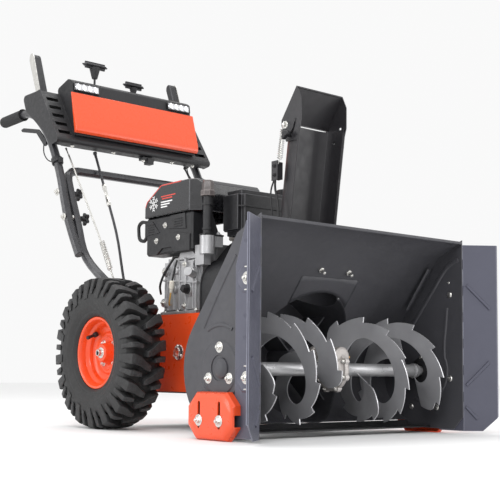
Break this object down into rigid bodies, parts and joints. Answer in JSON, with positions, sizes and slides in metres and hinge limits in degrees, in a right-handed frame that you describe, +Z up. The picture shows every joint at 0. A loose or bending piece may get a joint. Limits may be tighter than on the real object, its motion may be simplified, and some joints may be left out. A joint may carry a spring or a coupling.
{
  "type": "two stage snowblower",
  "caption": "Walk-behind two stage snowblower: wide bucket with serrated auger, turning chute with tilting deflector, engine, lugged wheels and a handlebar console.",
  "frame": {"origin": "on the ground under the middle of the machine's box, half way between the wing tips and the ends of the grips", "axes": "+Y points back to the operator, so the bucket opens towards -Y; +X is to the right of someone who looks along +Y from the front; +Z is up"},
  "size_m": [0.8604, 1.5098, 1.188],
  "materials": {
    "bucket_paint": "satin graphite powder coat",
    "wing_paint": "satin blue-grey powder coat",
    "orange_paint": "satin orange powder coat",
    "auger_paint": "silver-grey metallic paint",
    "gearbox_cast": "sand-cast, matt",
    "steel": "zinc plated",
    "scraper": "satin black",
    "chute_paint": "satin black powder coat",
    "engine_alloy": "die cast",
    "black_plastic": "fine moulded grain",
    "cap_plastic": "moulded",
    "rubber": "matt",
    "tyre": "moulded tread",
    "tube_paint": "satin dark grey",
    "panel_gloss": "gloss orange",
    "lens": "clear lens over reflector cells"
  },
  "bodies": {
    "root": {"auger_housing": "bucket_paint", "scraper_bar": "scraper", "side_plate_left": "bucket_paint", "side_plate_right": "bucket_paint", "snow_wing_left": "wing_paint", "snow_wing_right": "wing_paint", "skid_shoe_left": "orange_paint", "skid_shoe_right": "orange_paint", "auger_gearbox": "gearbox_cast", "impeller_drum": "bucket_paint", "transmission_case": "orange_paint", "transmission_floor": "scraper", "crankcase": "engine_alloy", "cylinder_head": "engine_alloy", "recoil_starter_housing": "black_plastic", "engine_shroud": "black_plastic", "carburettor_cover": "black_plastic", "fuel_tank": "black_plastic", "oil_filler_tube": "black_plastic", "muffler": "steel", "belt_cover": "black_plastic", "drive_belt": "rubber", "lower_handle": "tube_paint", "gear_shift_rod": "tube_paint", "drive_clutch_cable": "steel", "auger_clutch_cable": "rubber"},
    "auger": {"auger_left": "auger_paint", "auger_right": "auger_paint", "auger_shaft": "steel"},
    "impeller": {"impeller": "bucket_paint", "impeller_shaft": "steel"},
    "crankshaft": {"crankshaft_pulley": "steel", "flywheel_fan": "engine_alloy"},
    "friction_disc": {"friction_disc": "engine_alloy"},
    "friction_wheel": {"friction_wheel": "rubber"},
    "wheel_left": {"tyre_left": "tyre", "wheel_rim_left": "orange_paint", "axle_left": "steel"},
    "wheel_right": {"tyre_right": "tyre", "wheel_rim_right": "orange_paint", "axle_right": "steel"},
    "chute": {"chute": "chute_paint"},
    "deflector": {"deflector": "chute_paint"},
    "handlebar": {"upper_handle_left": "tube_paint", "upper_handle_right": "tube_paint", "grip_left": "rubber", "grip_right": "rubber", "console_shell": "black_plastic", "console_front_panel": "panel_gloss", "headlight_left": "lens", "headlight_right": "lens"},
    "gear_lever": {"gear_lever": "black_plastic"},
    "chute_control_lever": {"chute_control_lever": "black_plastic"},
    "drive_clutch_lever": {"drive_clutch_lever": "black_plastic"},
    "auger_clutch_lever": {"auger_clutch_lever": "black_plastic"},
    "steering_trigger_left": {"steering_trigger_left": "black_plastic"},
    "steering_trigger_right": {"steering_trigger_right": "black_plastic"},
    "fuel_cap": {"fuel_cap": "black_plastic"},
    "oil_filler_cap": {"oil_filler_cap": "cap_plastic"},
    "starter_handle": {"starter_handle": "black_plastic"}
  },
  "joints": [
    {"name": "wheel_left_spin", "type": "hinge", "parent": "root", "child": "wheel_left", "pos_m": [-0.2995, 0.01287, 0.209], "axis": [1, 0, 0], "continuous": true},
    {"name": "wheel_right_spin", "type": "hinge", "parent": "root", "child": "wheel_right", "pos_m": [0.2995, 0.01287, 0.209], "axis": [1, 0, 0], "continuous": true},
    {"name": "impeller_spin", "type": "hinge", "parent": "root", "child": "impeller", "pos_m": [0, -0.38213, 0.197], "axis": [0, 1, 0], "continuous": true},
    {"name": "auger_spin", "type": "hinge", "parent": "root", "child": "auger", "pos_m": [0, -0.56713, 0.166], "axis": [1, 0, 0], "continuous": true},
    {"name": "crankshaft_spin", "type": "hinge", "parent": "root", "child": "crankshaft", "pos_m": [0, -0.25213, 0.425], "axis": [0, 1, 0], "continuous": true},
    {"name": "friction_disc_spin", "type": "hinge", "parent": "root", "child": "friction_disc", "pos_m": [0, -0.22213, 0.218], "axis": [0, 1, 0], "continuous": true},
    {"name": "friction_wheel_spin", "type": "hinge", "parent": "root", "child": "friction_wheel", "pos_m": [0, -0.15453, 0.218], "axis": [1, 0, 0], "continuous": true},
    {"name": "chute_turn", "type": "hinge", "parent": "root", "child": "chute", "pos_m": [0, -0.45713, 0.44], "axis": [0, 0, 1], "range_deg": [-95, 95]},
    {"name": "deflector_tilt", "type": "hinge", "parent": "chute", "child": "deflector", "pos_m": [0, -0.46767, 0.807], "axis": [1, 0, 0], "range_deg": [0, 50]},
    {"name": "handlebar_fold", "type": "hinge", "parent": "root", "child": "handlebar", "pos_m": [0, 0.30187, 0.625], "axis": [-1, 0, 0], "range_deg": [0, 60]},
    {"name": "gear_shift", "type": "hinge", "parent": "handlebar", "child": "gear_lever", "pos_m": [-0.115, 0.42987, 1.001], "axis": [1, 0, 0], "range_deg": [-12, 12]},
    {"name": "chute_control", "type": "hinge", "parent": "handlebar", "child": "chute_control_lever", "pos_m": [0.035, 0.42987, 1.001], "axis": [1, 0, 0], "range_deg": [-20, 0]},
    {"name": "drive_clutch_press", "type": "hinge", "parent": "handlebar", "child": "drive_clutch_lever", "pos_m": [-0.268, 0.48187, 1.008], "axis": [-1, 0, 0], "range_deg": [0, 50], "stiffness_Nm_per_rad": 1.5, "springref_deg": -28.65},
    {"name": "auger_clutch_press", "type": "hinge", "parent": "handlebar", "child": "auger_clutch_lever", "pos_m": [0.268, 0.48187, 1.008], "axis": [-1, 0, 0], "range_deg": [0, 50], "stiffness_Nm_per_rad": 1.5, "springref_deg": -28.65},
    {"name": "steer_left_squeeze", "type": "hinge", "parent": "handlebar", "child": "steering_trigger_left", "pos_m": [-0.2755, 0.44987, 0.884], "axis": [1, 0, 0], "range_deg": [0, 7], "stiffness_Nm_per_rad": 2, "springref_deg": -22.92},
    {"name": "steer_right_squeeze", "type": "hinge", "parent": "handlebar", "child": "steering_trigger_right", "pos_m": [0.2755, 0.44987, 0.884], "axis": [1, 0, 0], "range_deg": [0, 7], "stiffness_Nm_per_rad": 2, "springref_deg": -22.92},
    {"name": "fuel_cap_turn", "type": "hinge", "parent": "root", "child": "fuel_cap", "pos_m": [0.11, -0.26213, 0.666], "axis": [0, 0, 1], "range_deg": [0, 90]},
    {"name": "oil_cap_turn", "type": "hinge", "parent": "root", "child": "oil_filler_cap", "pos_m": [-0.145, -0.23213, 0.657], "axis": [0, 0, 1], "range_deg": [0, 90]},
    {"name": "starter_pull", "type": "slide", "parent": "root", "child": "starter_handle", "axis": [0, 1, 0], "range_m": [0, 0.18], "stiffness_N_per_m": 60, "springref_m": -0.05}
  ],
  "couplings": [
    {"joint": "auger_spin", "follows": "impeller_spin", "ratio": 0.1},
    {"joint": "friction_wheel_spin", "follows": "friction_disc_spin", "ratio": 0.75},
    {"joint": "chute_control", "follows": "deflector_tilt", "ratio": -0.4}
  ]
}
